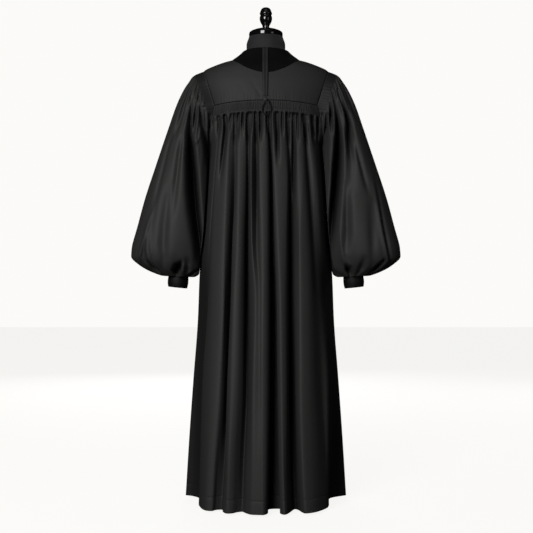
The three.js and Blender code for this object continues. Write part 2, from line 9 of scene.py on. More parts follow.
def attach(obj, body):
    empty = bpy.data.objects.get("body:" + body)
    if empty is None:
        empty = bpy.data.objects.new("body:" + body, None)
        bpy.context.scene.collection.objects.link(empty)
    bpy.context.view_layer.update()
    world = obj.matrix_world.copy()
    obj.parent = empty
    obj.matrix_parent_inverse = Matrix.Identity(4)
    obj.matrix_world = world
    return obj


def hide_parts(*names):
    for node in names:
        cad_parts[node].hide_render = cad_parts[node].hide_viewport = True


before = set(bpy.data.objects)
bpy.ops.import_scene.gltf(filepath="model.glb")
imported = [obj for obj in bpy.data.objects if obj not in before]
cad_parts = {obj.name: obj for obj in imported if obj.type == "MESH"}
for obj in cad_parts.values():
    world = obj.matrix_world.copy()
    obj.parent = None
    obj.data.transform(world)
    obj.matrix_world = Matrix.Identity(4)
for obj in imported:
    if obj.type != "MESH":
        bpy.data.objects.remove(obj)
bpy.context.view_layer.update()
scene = bpy.context.scene
scene.view_settings.view_transform = "Standard"

camera = {"lens": 69.72, "distance": 3.2, "height": 0.717, "side": 0.0019}

cameraData = bpy.data.cameras.new("camera")
cameraData.lens = camera["lens"]
cameraData.sensor_width = 36
cameraObject = bpy.data.objects.new("camera", cameraData)
scene.collection.objects.link(cameraObject)
cameraObject.location = (camera["side"], -camera["distance"], camera["height"])
cameraObject.rotation_euler = (math.radians(90), 0, 0)
scene.camera = cameraObject


roundness = 2.35
shoulderEnd = (191.6, 1319)
yokeCorner = (155.6, 1203)
shoulderLine = [shoulderEnd, (163, 1332.5), (136, 1342), (105.9, 1350)]
underarm = 1092

# height, half width, depth behind, depth in front
bodyRings = np.array([
    (1388, 64, 62.5, 61),
    (1368, 83, 72, 70),
    (1350, 106, 81, 78),
    (1342, 136, 86, 83),
    (1332.5, 163, 91, 88),
    (1319, 191.6, 96, 94),
    (1300, 205, 102, 100),
    (1280, 210, 107, 106),
    (1203, 190, 119, 119),
    (1183, 187, 124, 121),
    (1092, 176, 143, 136),
    (1000, 182, 160, 150),
    (900, 188, 176, 163),
    (800, 195, 190, 175),
    (700, 205, 203, 186),
    (551, 211, 220, 200),
    (365, 225, 238, 215),
    (180, 238, 252, 226),
    (0, 249, 257, 232),
])


def smoothTable(xs, ys, at):
    # monotone cubic through a short table; xs may fall or rise
    xs, ys = np.asarray(xs, float), np.asarray(ys, float)
    if xs[0] > xs[-1]:
        xs, ys = xs[::-1], ys[::-1]
    at = np.clip(at, xs[0], xs[-1])
    steps = np.diff(xs)
    slopes = np.diff(ys) / steps
    tangents = np.zeros_like(ys)
    tangents[0], tangents[-1] = slopes[0], slopes[-1]
    before, after = slopes[:-1], slopes[1:]
    same = before * after > 0
    tangents[1:-1][same] = 2 * before[same] * after[same] / (before[same] + after[same])
    i = np.clip(np.searchsorted(xs, at) - 1, 0, len(steps) - 1)
    t = (at - xs[i]) / steps[i]
    return (ys[i] * (1 + 2 * t) * (1 - t) ** 2 + steps[i] * tangents[i] * t * (1 - t) ** 2
            + ys[i + 1] * t * t * (3 - 2 * t) + steps[i] * tangents[i + 1] * t * t * (t - 1))


def ringSize(z, side):
    return (smoothTable(bodyRings[:, 0], bodyRings[:, 1], z),
            smoothTable(bodyRings[:, 0], bodyRings[:, 2 if side < 0 else 3], z))


def bodyDepth(x, z, side):
    wide, deep = ringSize(z, side)
    share = np.minimum(1, np.abs(x) / wide)
    return deep * (1 - share ** roundness) ** (1 / roundness)


def bodyWidth(y, z, side):
    wide, deep = ringSize(z, side)
    share = np.minimum(1, np.abs(y) / deep)
    return wide * (1 - share ** roundness) ** (1 / roundness)


armholeSides = [(1203, 77), (1172, 70), (1144, 58), (1115, 38), (1100, 18), (1092, 0.3)]


def edgePoint(z, side):
    # where the sleeve is sewn in, and the side seam below it
    if z >= yokeCorner[1]:
        share = (shoulderEnd[1] - z) / (shoulderEnd[1] - yokeCorner[1])
        x = shoulderEnd[0] + (yokeCorner[0] - shoulderEnd[0]) * share
        return x, side * max(0.5, float(bodyDepth(x, z, side)))
    y = 0.3
    if z > underarm:
        y = float(smoothTable([a for a, _ in armholeSides], [b for _, b in armholeSides], z))
    return float(bodyWidth(y, z, side)), side * y


def bump(distance, width):
    return np.exp(-(distance / width) ** 2)


def fade(value, start, end):
    t = np.clip((value - start) / (end - start), 0, 1)
    return t * t * (3 - 2 * t)


def creaseDepth(x, z, crease):
    # depth that one crease gives to points at x and z: the nearest spot on its line counts
    best = np.full(x.shape, 1e9)
    depth = np.zeros(x.shape)
    for (ax, az, ad, aw), (bx, bz, bd, bw) in zip(crease, crease[1:]):
        length = (bx - ax) ** 2 + (bz - az) ** 2
        t = np.clip(((x - ax) * (bx - ax) + (z - az) * (bz - az)) / length, 0, 1)
        away = np.hypot(x - ax - t * (bx - ax), z - az - t * (bz - az))
        value = (ad + (bd - ad) * t) * bump(away, aw + (bw - aw) * t)
        closer = away < best
        best = np.where(closer, away, best)
        depth = np.where(closer, value, depth)
    return depth


def alongPath(points, count):
    points = np.array(points, float)
    run = np.concatenate([[0], np.cumsum(np.linalg.norm(np.diff(points, axis=0), axis=1))])
    at = np.linspace(0, run[-1], count + 1)
    return np.column_stack([smoothTable(run, points[:, 0], at), smoothTable(run, points[:, 1], at)])


def clothObject(name, points, wall, closed=False, shade=None):
    # points: rows going down, columns anticlockwise seen from above, millimetres
    # shade: painted shade at each point, 0 to 1, which darkens the cloth's colour where it would be in
    # shadow
    rows, columns = points.shape[:2]
    mesh = bmesh.new()
    bmesh.ops.create_grid(mesh, x_segments=columns - 1 + closed, y_segments=rows - 1, size=0.5)
    mesh.verts.ensure_lookup_table()
    wide = columns + closed
    uvLayer = mesh.loops.layers.uv.new("cloth")
    shadeLayer = mesh.verts.layers.float.new("shade")
    steps = np.linalg.norm(np.diff(points, axis=1, append=points[:, :1]), axis=2)
    run = np.concatenate([np.zeros((rows, 1)), np.cumsum(steps, axis=1)], axis=1)[:, :wide]
    run -= run[:, wide // 2][:, None]
    drop = np.linalg.norm(np.diff(points[:, columns // 2], axis=0), axis=1)
    fall = np.concatenate([[0], np.cumsum(drop)])
    places = {}
    for vert in mesh.verts:
        c = round((vert.co.x + 0.5) * (wide - 1))
        r = round((0.5 - vert.co.y) * (rows - 1))
        places[vert.index] = (run[r, c] / 1000, -fall[r] / 1000)
        vert[shadeLayer] = 0 if shade is None else shade[r, c % columns]
        vert.co = Vector(points[r, c % columns]) / 1000
    for face in mesh.faces:
        for corner in face.loops:
            corner[uvLayer].uv = places[corner.vert.index]
        face.smooth = True
    if closed:
        bmesh.ops.remove_doubles(mesh, verts=mesh.verts, dist=1e-7)
    return meshObject(name, mesh, wall)


def meshObject(name, mesh, wall=None):
    data = bpy.data.meshes.new(name)
    mesh.to_mesh(data)
    mesh.free()
    made = bpy.data.objects.new(name, data)
    scene.collection.objects.link(made)
    if wall:
        solid = made.modifiers.new("wall", "SOLIDIFY")
        solid.thickness = wall / 1000
        solid.offset = -1
        solid.use_rim = True
        solid.use_even_offset = False
    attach(made, "root")
    return made


def wrinkle(points, size, height, seed, stretch=(1, 1, 1)):
    # slow unevenness, moved along y
    flat = points.reshape(-1, 3)
    for spot in flat:
        where = Vector((spot[0] * stretch[0], spot[1] * stretch[1], spot[2] * stretch[2])) / size
        spot[1] += height * noise.noise(where + Vector((seed, 0, 0)))
    return points


def newMaterial(name):
    material = bpy.data.materials.new(name)
    material.use_nodes = True
    nodes = material.node_tree.nodes
    return material, nodes, material.node_tree.links, nodes["Principled BSDF"]


def setInputs(node, values):
    for name, value in values.items():
        node.inputs[name].default_value = value


def noiseTexture(nodes, links, place, scale, detail=2):
    texture = nodes.new("ShaderNodeTexNoise")
    setInputs(texture, {"Scale": scale, "Detail": detail})
    links.new(place, texture.inputs["Vector"])
    return texture.outputs["Fac"]


def toneRamp(nodes, links, amount, colour, stops):
    # stops: place on the ramp and share of the colour, dark first
    ramp = nodes.new("ShaderNodeValToRGB")
    for element, (place, share) in zip(ramp.color_ramp.elements, stops):
        element.position = place
        element.color = [c * share for c in colour] + [1]
    links.new(amount, ramp.inputs["Fac"])
    return ramp.outputs["Color"]


def addRelief(nodes, links, shader, height, distance, strength):
    relief = nodes.new("ShaderNodeBump")
    setInputs(relief, {"Distance": distance, "Strength": strength})
    links.new(height, relief.inputs["Height"])
    links.new(relief.outputs["Normal"], shader.inputs["Normal"])


weave = {"threads": 0.0007, "angle": 58, "depth": 0.00012, "relief": 0.5,
         "colour": (0.0245, 0.0242, 0.0236), "slubs": 420, "unevenness": 0.10,
         # the near-black tone that painted shade darkens the cloth towards, and the most painted shade any
         # point gets
         "paintedShadeTone": 0.04, "mostShade": 0.9,
         "surface": {"Roughness": 0.62, "Specular IOR Level": 0.17,
                     "Sheen Weight": 0.01, "Sheen Roughness": 0.4}}


def gownMaterial():
    material, nodes, links, shader = newMaterial("gownTwill")
    place = nodes.new("ShaderNodeUVMap")
    place.uv_map = "cloth"
    turn = nodes.new("ShaderNodeMapping")
    turn.inputs["Rotation"].default_value = (0, 0, math.radians(weave["angle"]))
    links.new(place.outputs["UV"], turn.inputs["Vector"])
    twill = nodes.new("ShaderNodeTexWave")
    setInputs(twill, {"Scale": 0.314 / weave["threads"], "Distortion": 0.6, "Detail": 1})
    links.new(turn.outputs["Vector"], twill.inputs["Vector"])
    slubs = noiseTexture(nodes, links, place.outputs["UV"], weave["slubs"], 3)
    uneven = weave["unevenness"]
    tone = toneRamp(nodes, links, slubs, weave["colour"], ((0.3, 1 - uneven), (0.7, 1 + uneven)))
    # painted shade: the shade attribute darkens the cloth's colour towards a near-black tone where folds,
    # gathers, seams and overhangs would be in shadow
    paintedShadeNode = nodes.new("ShaderNodeAttribute")
    paintedShadeNode.attribute_name = "shade"
    dim = nodes.new("ShaderNodeMix")
    dim.data_type = "RGBA"
    dim.blend_type = "MULTIPLY"
    dim.inputs["B"].default_value = (weave["paintedShadeTone"],) * 3 + (1,)
    links.new(paintedShadeNode.outputs["Fac"], dim.inputs["Factor"])
    links.new(tone, dim.inputs["A"])
    links.new(dim.outputs["Result"], shader.inputs["Base Color"])
    height = nodes.new("ShaderNodeMath")
    height.operation = "MULTIPLY_ADD"
    height.inputs[1].default_value = 0.5
    links.new(twill.outputs["Fac"], height.inputs[0])
    links.new(slubs, height.inputs[2])
    addRelief(nodes, links, shader, height.outputs["Value"], weave["depth"], weave["relief"])
    setInputs(shader, weave["surface"])
    return material


pile = {"colour": (0.0013, 0.0013, 0.0015), "nap": 900, "brushed": 22, "depth": 0.0003,
        "relief": 0.4,
        "surface": {"Roughness": 0.9, "Specular IOR Level": 0.1,
                    "Sheen Weight": 0.022, "Sheen Roughness": 0.3}}


def velvetMaterial():
    material, nodes, links, shader = newMaterial("collarVelvet")
    place = nodes.new("ShaderNodeTexCoord").outputs["Object"]
    nap = noiseTexture(nodes, links, place, pile["nap"], 4)
    brushed = noiseTexture(nodes, links, place, pile["brushed"])
    tone = toneRamp(nodes, links, brushed, pile["colour"], ((0.35, 0.7), (0.7, 1.5)))
    links.new(tone, shader.inputs["Base Color"])
    addRelief(nodes, links, shader, nap, pile["depth"], pile["relief"])
    setInputs(shader, pile["surface"])
    return material


jersey = {"colour": (0.0125, 0.0126, 0.0130), "ribs": 1500, "ribStretch": 0.45, "cloud": 30,
          "depth": 0.0002, "relief": 0.35,
          "surface": {"Roughness": 0.8, "Specular IOR Level": 0.25, "Sheen Weight": 0.08}}


def jerseyMaterial():
    material, nodes, links, shader = newMaterial("formJersey")
    place = nodes.new("ShaderNodeTexCoord").outputs["Object"]
    stretch = nodes.new("ShaderNodeMapping")
    stretch.inputs["Scale"].default_value = (1, 1, jersey["ribStretch"])
    links.new(place, stretch.inputs["Vector"])
    knit = noiseTexture(nodes, links, stretch.outputs["Vector"], jersey["ribs"])
    cloud = noiseTexture(nodes, links, place, jersey["cloud"])
    tone = toneRamp(nodes, links, cloud, jersey["colour"], ((0.3, 0.85), (0.7, 1.2)))
    links.new(tone, shader.inputs["Base Color"])
    addRelief(nodes, links, shader, knit, jersey["depth"], jersey["relief"])
    setInputs(shader, jersey["surface"])
    return material


def glossMaterial(name, colour, roughness, specular=0.5):
    material, nodes, links, shader = newMaterial(name)
    place = nodes.new("ShaderNodeTexCoord").outputs["Object"]
    haze = noiseTexture(nodes, links, place, 60, 4)
    rough = nodes.new("ShaderNodeMapRange")
    setInputs(rough, {"To Min": roughness * 0.8, "To Max": roughness * 1.35})
    links.new(haze, rough.inputs["Value"])
    links.new(rough.outputs["Result"], shader.inputs["Roughness"])
    setInputs(shader, {"Base Color": colour + (1,), "Specular IOR Level": specular})
    return material


gownTwill = gownMaterial()
collarVelvet = velvetMaterial()
formJersey = jerseyMaterial()
turnedGloss = glossMaterial("turnedGloss", (0.003, 0.003, 0.0033), 0.09)
loopCord = glossMaterial("loopCord", (0.004, 0.004, 0.004), 0.7, 0.15)
standPaint = glossMaterial("standPaint", (0.010, 0.010, 0.011), 0.42)

loop = {"radius": 1.7, "lift": 5.2, "points": (
    (-3, 1207.5), (-6.5, 1200), (-10, 1190), (-10.6, 1182), (-7, 1173), (0, 1168.5), (8, 1171), (14.5, 1179),
    (16.2, 1188), (13.5, 1198), (9.6, 1206), (8.2, 1213))}


def buildLoop():
    curve = bpy.data.curves.new("gown_loop", "CURVE")
    curve.dimensions = "3D"
    curve.bevel_depth = 1
    curve.bevel_resolution = 4
    spots = alongPath(loop["points"], 28)
    line = curve.splines.new("POLY")
    line.points.add(len(spots) - 1)
    route = []
    for point, (x, z) in zip(line.points, spots):
        y = -(float(bodyDepth(x, z, -1)) + loop["lift"] + loop["radius"])
        route.append((x / 1000, y / 1000, z / 1000))
        point.co = (*route[-1], 1)
        point.radius = loop["radius"] / 1000
    made = bpy.data.objects.new("gown_loop", curve)
    scene.collection.objects.link(made)
    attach(made, "root")
    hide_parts("cord_loop")
    curve.materials.append(loopCord)


buildLoop()

# the folds down the back: how many columns lead to it, x at the fold heights, inset from the body there
foldHeights = [1150, 980, 795, 628, 370, 130, 8]
backFolds = [
    (5, (-145, -158, -172, -188, -207, -220, -225), (2, 4, 20, 62, 92, 112, 120)),
    (4, (-138, -154, -168, -174, -191, -198, -202), (3, 6, 22, 42, 76, 112, 126)),
    (4, (-134, -151, -163.5, -169, -188, -195, -199), (0, 0, 4, 10, 24, 36, 40)),
    (3, (-128, -148, -154, -158, -163, -171, -176), (0, 0, 0, 0, 0, 0, 0)),
    (5, (-108, -116, -122, -124, -134, -150, -156), (1, 3, 5, 6, 8, 9, 9)),
    (2, (-102, -105, -111, -116, -122, -138, -146), (6, 15, 20, 24, 28, 28, 27)),
    (4, (-91, -92, -98, -102, -112, -121, -128), (9, 36, 54, 62, 66, 46, 40)),
    (3, (-88, -89.5, -97.5, -102, -112, -118, -124), (3, 8, 11, 12, 14, 16, 16)),
    (2, (-82, -82, -84, -94, -101, -108, -112), (0, 0, 0, 0, 0, 0, 0)),
    (2, (-74, -70, -73, -78, -84, -94, -97), (1, 4, 5, 5, 6, 8, 8)),
    (3, (-62, -60, -63, -65, -68, -78, -80), (3, 14, 20, 24, 26, 28, 28)),
    (4, (-52, -52.5, -55, -56, -56, -65, -68), (9, 36, 56, 64, 54, 44, 34)),
    (3, (-47, -47, -47, -44, -46, -54, -56), (3, 6, 14, 24, 28, 20, 16)),
    (2, (-42, -43, -41, -31, -37, -40, -42), (0, 0, 2, 4, 4, 2, 2)),
    (4, (-29, -26.5, -27, -19, -18.4, -24, -24), (8, 36, 20, 6, 4, 0, 0)),
    (3, (-20, -19, -17, -12, -12, -14, -14), (1, 2, 4, 1, 0, 0, 0)),
    (2, (-10, -12, -8.5, -6, -6, -8, -8), (0, 0, 0, 0, 0, 0, 0)),
    (2, (0, 3, 4, 4, 3, 1, -1), (1, 3, 5, 6, 6, 6, 6)),
    (2, (4, 11, 11.5, 12, 11, 8, 6), (4, 16, 20, 22, 24, 24, 24)),
    (4, (7, 14, 15.5, 15.5, 14.5, 13, 10), (9, 48, 56, 70, 78, 76, 70)),
    (3, (13, 22, 28, 35, 40, 43, 45), (9, 50, 56, 72, 80, 78, 72)),
    (4, (15, 21, 26, 31.5, 34.5, 38, 41), (3, 8, 11, 13, 14, 16, 18)),
    (2, (20, 26, 35, 42, 45, 49, 53), (0, 0, 0, 0, 0, 0, 0)),
    (4, (38, 62, 59, 57, 58, 57, 60), (1, 4, 6, 6, 6, 6, 6)),
    (4, (55, 67.5, 65, 64.5, 65, 66, 69), (3, 14, 20, 22, 24, 26, 26)),
    (3, (66, 71.5, 71.5, 71.5, 73, 80, 86), (9, 38, 56, 70, 74, 68, 62)),
    (3, (77, 80, 82, 81, 83, 89, 96), (4, 30, 40, 44, 56, 52, 46)),
    (3, (88, 91, 93, 90, 90, 97.5, 104), (2, 9, 13, 18, 20, 20, 20)),
    (2, (98, 106, 99, 100, 100, 106, 113), (0, 0, 2, 2, 2, 2, 2)),
    (3, (108, 114, 117, 122, 122, 128, 134), (0, 0, 0, 0, 0, 0, 0)),
    (2, (112, 121, 130, 136, 140, 149, 154), (2, 6, 6, 6, 6, 6, 6)),
    (3, (117, 128, 141, 151, 164, 176, 180), (8, 24, 28, 26, 24, 26, 28)),
    (3, (126, 144, 152, 165, 184, 184, 187), (1, 10, 24, 34, 18, 30, 52)),
    (4, (140, 155, 166, 184, 190, 195, 197), (2, 6, 22, 62, 74, 112, 136)),
]
# gathers under the shirring: x at its foot, x at 1150, x and z where it ends, depth, half width
gathers = np.array([
    (-159, -160, -156, 1132, 3, 3),
    (-144, -142, -147, 1085, 9, 4),
    (-125, -119, -139, 943, 13, 5),
    (-104, -108, -109, 1103, 8, 3.5),
    (-94, -92, -94, 1061, 9, 4),
    (-80, -83, -85, 1079, 11, 4),
    (-68, -71, -74, 1111, 8, 3.5),
    (-50, -53, -53, 1061, 11, 4),
    (-41, -44, -44, 1106, 9, 4),
    (-31, -29, -29, 1061, 11, 4),
    (-15, -15, -17, 1070, 12, 4),
    (5, 3, 9, 1091, 6, 3),
    (13, 12, 15, 1061, 8, 4),
    (33, 33, 36, 1002, 14, 4.5),
    (48, 48, 48, 1097, 7, 4),
    (63, 66, 68, 1061, 10, 4),
    (73, 72, 71, 1144, 5, 3),
    (84, 84, 83, 869, 13, 4.5),
    (96, 95, 95, 1070, 9, 4),
    (111, 116, 121, 1061, 11, 4),
    (123, 125, 124, 1126, 5, 3.5),
    (139, 140, 151, 1061, 11, 4.5),
    (159, 158, 157, 1061, 9, 4),
])
backPanel = {"finer": 4, "wall": 1.0, "seam": 1213.5, "edgeDrop": 11, "shirringFoot": 1183, "pleat": 4.6,
             "pleatHeight": 0.7, "gatherDepth": 2.0, "puff": 2.4, "ripple": 2.7, "hemStitch": 46,
             # painted shade in the shirred band, in the gathers' hollows and in the deep fold insets
             "shade": 0.45, "gatherShade": 0.25, "foldShade": 0.6,
             "rows": ((1213.5, 0), (1211, 2), (1188, 12), (1180, 20), (1150, 36), (1084, 48), (980, 60),
                      (60, 96), (50, 98), (47.5, 99), (46, 100), (44.5, 101), (42, 102), (30, 103),
                      (9.5, 106), (8, 107))}


def planRow(lines, finer, z, side, left, right, lastGap):
    # one row seen from above: a centripetal curve through the fold lines
    points, gaps = [left], []
    for gap, x, inset in lines:
        points.append((x, side * max(0.5, float(bodyDepth(x, z, side)) - inset)))
        gaps.append(gap)
    points.append(right)
    gaps.append(lastGap)
    points = np.array(points, float)
    padded = np.vstack([2 * points[0] - points[1], points, 2 * points[-1] - points[-2]])
    out = []
    for i, gap in enumerate(gaps):
        p0, p1, p2, p3 = padded[i:i + 4]
        d0, d1, d2 = (max(1e-4, np.linalg.norm(b - a)) ** 0.5 for a, b in ((p0, p1), (p1, p2), (p2, p3)))
        m1 = ((p1 - p0) / d0 - (p2 - p0) / (d0 + d1) + (p2 - p1) / d1) * d1
        m2 = ((p2 - p1) / d1 - (p3 - p1) / (d1 + d2) + (p3 - p2) / d2) * d1
        t = (np.arange(gap * finer) / (gap * finer))[:, None]
        square = -3 * p1 + 3 * p2 - 2 * m1 - m2
        cube = 2 * p1 - 2 * p2 + m1 + m2
        out.append(p1 + m1 * t + square * t ** 2 + cube * t ** 3)
    return np.vstack(out + [points[-1:]])


def rowHeights(marks):
    heights, counts = [a for a, _ in marks], [b for _, b in marks]
    return np.interp(np.arange(counts[-1] + 1), counts, heights)


def foldLines(folds, z, side, edge, calm=1):
    # the fold lines of one row; above the first height they draw in with the body's edge
    reach = edgePoint(edge, side)[0] / edgePoint(foldHeights[0], side)[0] if z > foldHeights[0] else 1
    return [(gap, float(smoothTable(foldHeights, xs, z)) * reach,
             float(smoothTable(foldHeights, insets, z)) * calm) for gap, xs, insets in folds]


def gatherDepth(x, z):
    # the short folds that open under the shirring and die out lower down
    total = np.zeros(x.shape)
    foot = backPanel["shirringFoot"]
    for xFoot, xNext, xEnd, zEnd, depth, halfWidth in gathers:
        if zEnd < foldHeights[0]:
            route = np.interp(-z, (-foot, -foldHeights[0], -zEnd), (xFoot, xNext, xEnd))
        else:
            route = np.interp(-z, (-foot, -zEnd), (xFoot, xEnd))
        life = (foot - z) / (foot - zEnd)
        total += depth * (1 - fade(life, 0.4, 1)) * bump(x - route, 1.15 * halfWidth)
    ripple = np.sin(2 * math.pi * x / 12.5 + 1.7 * np.sin(x / 27) + 0.8 * np.sin(x / 9.1))
    return total * backPanel["gatherDepth"] + backPanel["ripple"] * ripple * (1 - fade(foot - z, 25, 100))


def buildBackPanel():
    foot, seam = backPanel["shirringFoot"], backPanel["seam"]
    rows, shades = [], []
    for z in rowHeights(backPanel["rows"]):
        edge = z - backPanel["edgeDrop"] * float(fade(z, 1084, seam))
        x, y = edgePoint(edge, -1)
        calm = 1 - float(fade(z, 1160, foot))
        folds = foldLines(backFolds, z, -1, edge, calm)
        plan = planRow(folds, backPanel["finer"], z, -1, (-x, y), (x, y), 5)
        out = np.minimum(1, np.abs(plan[:, 0]) / x)
        heights = z + (edge - z) * out ** 2
        inner = 1 - fade(out, 0.965, 1)
        sunk = gatherDepth(plan[:, 0], np.full(len(plan), z)) * (1 - fade(z, foot - 9, foot)) * inner
        inset = bodyDepth(plan[:, 0], np.full(len(plan), z), -1) + plan[:, 1]
        plan[:, 1] += sunk
        plan[:, 1] -= backPanel["puff"] * bump(z - foot + 10, 9) * inner
        shirred = fade(z, foot - 2, foot + 2) * (1 - fade(z, seam - 4, seam))
        wave = (2 * math.pi * plan[:, 0] / backPanel["pleat"] + 1.9 * np.sin(plan[:, 0] / 11)
                + 1.2 * np.sin(plan[:, 0] / 3.1 + z / 9))
        plan[:, 1] -= backPanel["pleatHeight"] * np.cos(wave) * shirred * inner
        # painted shade: the shirred band and the hollows of the gathers and deep folds are darkened in the
        # colour, standing in for their shadow
        paintedFoldShade = backPanel["gatherShade"] * fade(sunk, 0, 9) + backPanel["foldShade"] * fade(inset, 12, 60)
        shades.append(np.minimum(weave["mostShade"], backPanel["shade"] * shirred + paintedFoldShade))
        plan[:, 1] += 0.9 * bump(z - foot - 1, 1.5) + 0.35 * bump(z - foot - 12, 1.6)
        wobble = 1.6 * np.sin(plan[:, 0] / 23 + 1) + 0.9 * np.sin(plan[:, 0] / 7.3)
        heights += wobble * bump(z - backPanel["hemStitch"], 14)
        plan[:, 1] += 0.9 * bump(z - backPanel["hemStitch"], 1.6)
        rows.append(np.column_stack([plan, heights]))
    points = np.array(rows)
    wrinkle(points[20:], 60, 2.2, 3.1, (1, 1, 0.25))
    made = clothObject("gown_back", points, backPanel["wall"], shade=np.array(shades))
    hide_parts("back_panel")
    made.data.materials.append(gownTwill)
    return made


gownBack = buildBackPanel()
print("back panel made")

# the collar's lower edge behind and before: x and z
collarBehind = [(0, 1301), (20, 1303), (36, 1308), (52, 1314), (67.5, 1322), (84, 1333), (96, 1340.5),
                (103, 1346.5), (105.9, 1350)]
collarBefore = [(105.9, 1350), (103, 1347), (97, 1343), (86, 1338.5), (70, 1335), (52, 1331), (34, 1329),
                (17, 1328), (1, 1327.5)]
collar = {"headBehind": 1383, "headBefore": 1370, "wall": 1.5, "rows": 20}
# the yoke's shade values are painted shade: a little all over, and more along its seams
yoke = {"wall": 1.0, "rise": 11, "proud": 1.5, "roll": 2.2, "seamShade": 0.9, "shade": 0.2,
        "sideLean": 0.3214, "sideShare": 0.952, "pull": 0.7,
        "drag": (((-81, 1264, 0.4, 7), (-63, 1235, 0.5, 7)), ((-45, 1277, 0.3, 7), (-18, 1231, 0.9, 6)),
                 ((120, 1240, 0.2, 5), (124, 1212, 0.5, 5)), ((-132, 1235, 0.2, 5), (-136, 1212, 0.4, 5)))}


def upperPatch(head, foot, shares, side):
    out = []
    for share in shares:
        xz = head + (foot - head) * share
        y = side * np.maximum(0.5, bodyDepth(xz[:, 0], xz[:, 1], side))
        out.append(np.column_stack([xz[:, 0], y, xz[:, 1]]))
    return np.array(out)


def buildYoke():
    shoulder = alongPath(shoulderLine, 48)
    crescent = alongPath(collarBehind, 72)[::-1] - (0, 1)
    half = np.vstack([shoulder[:-1], crescent])
    head = np.vstack([half * (-1, 1), half[:-1][::-1]])
    x = yokeCorner[0] * np.linspace(-1, 1, len(head))
    foot = np.column_stack([x, yokeCorner[1] + yoke["rise"] * (1 - (x / yokeCorner[0]) ** 2) + 0.5])
    upper, seam = np.linspace(0, 1, 60) ** 1.8, np.linspace(0, 1, 12)[1:] ** 0.8
    shares = np.concatenate([upper * 0.93, 0.93 + 0.07 * seam])  # finer rows near the seam
    points = upperPatch(head, foot, shares, -1)
    x, z = np.abs(points[:, :, 0]), points[:, :, 2]
    side = (yokeCorner[0] + (z - yokeCorner[1]) * yoke["sideLean"] - x) * yoke["sideShare"]
    below = z - yokeCorner[1] - yoke["rise"] * (1 - (x / yokeCorner[0]) ** 2)
    edge = np.maximum(0, np.minimum(side, below))
    points[:, :, 1] -= yoke["proud"] * (1 - bump(edge, yoke["roll"])) - 0.3
    points[:, :, 1] += sum(creaseDepth(points[:, :, 0], z, crease) for crease in yoke["drag"])
    pull = np.array([[noise.noise(Vector((p[0] / 5, 0, p[2] / 60))) for p in row] for row in points])
    points[:, :, 1] += yoke["pull"] * pull * bump(below, 26)
    # painted shade: the whole yoke is darkened a little, and more along its seams where the groove would be
    # in shadow
    shades = yoke["shade"] + (yoke["seamShade"] - yoke["shade"]) * bump(edge, 2.2)
    made = clothObject("gown_yoke", points, yoke["wall"], shade=shades)
    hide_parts("yoke")
    made.data.materials.append(gownTwill)
    return made


def buildCollar():
    half = [(x, z, -1) for x, z in alongPath(collarBehind, 36)]
    half += [(x, z, 1) for x, z in alongPath(collarBefore, 36)[1:]]
    rows = []
    for r in range(collar["rows"] + 1):
        share = r / collar["rows"]
        row = []
        for i, (x, z, side) in enumerate(half):
            turn = math.pi * i / (len(half) - 1)
            fall = (collar["headBefore"] - collar["headBehind"]) * (1 - math.cos(turn)) / 2
            level = collar["headBehind"] + fall
            wide, deep = ringSize(level, -1 if turn < math.pi / 2 else 1)
            opening = max(1, wide * abs(math.sin(turn)) ** (2 / roundness))
            headY = -math.copysign(deep * abs(math.cos(turn)) ** (2 / roundness), math.cos(turn))
            footY = side * float(bodyDepth(x, z, side))
            spotX, spotZ = opening + (x - opening) * share, level + (z - level) * share
            y = headY + (footY - headY) * share
            if r:
                y = math.copysign(max(abs(y), float(bodyDepth(spotX, spotZ, -1 if y < 0 else 1))), y)
            row.append((0 if i == 0 else spotX, y, spotZ))
        left = [(-a, b, c) for a, b, c in row]
        rows.append(left[::-1] + row[1:])
    made = clothObject("gown_collar", np.array(rows), collar["wall"])
    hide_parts("collar")
    made.data.materials.append(collarVelvet)
    return made


gownYoke = buildYoke()
gownCollar = buildCollar()
print("yoke and collar made")

# the folds down the fronts, in the same columns as the back's
frontLeftFolds = [
    (4, (20, 21, 22, 23, 24, 25, 26), (0, 0, 0, 0, 0, 1, 2)),
    (4, (47, 49, 52, 55, 60, 63, 64), (0, 6, 14, 22, 34, 44, 50)),
    (4, (70, 74, 80, 85, 91, 95, 97), (0, 0, 0, 0, 2, 3, 4)),
    (4, (90, 96, 104, 112, 121, 127, 129), (0, 4, 10, 18, 28, 38, 42)),
    (4, (114, 122, 133, 142, 152, 160, 163), (0, 0, 0, 0, 0, 2, 4)),
    (4, (138, 149, 162, 173, 185, 195, 198), (0, 2, 6, 12, 26, 40, 44)),
]
frontRightFolds = [
    (4, (24, 25, 27, 28, 30, 31, 31), (0, 0, 0, 0, 0, 0, 0)),
    (4, (52, 55, 59, 63, 68, 72, 73), (0, 4, 12, 24, 38, 48, 52)),
    (4, (73, 77, 84, 90, 97, 102, 104), (0, 0, 0, 0, 2, 4, 5)),
    (4, (95, 101, 109, 117, 126, 132, 134), (0, 2, 7, 14, 26, 34, 38)),
    (4, (120, 128, 138, 148, 158, 166, 169), (0, 0, 0, 0, 0, 1, 2)),
    (4, (140, 151, 165, 176, 188, 197, 200), (0, 3, 7, 14, 28, 44, 50)),
]
fronts = {"finer": 7, "wall": 1.0, "upperRows": 44, "hemStitch": 46,
          "rows": ((1203.5, 0), (980, 24), (60, 84), (50, 86), (47.5, 87), (46, 88), (44.5, 89),
                   (42, 90), (8, 96))}


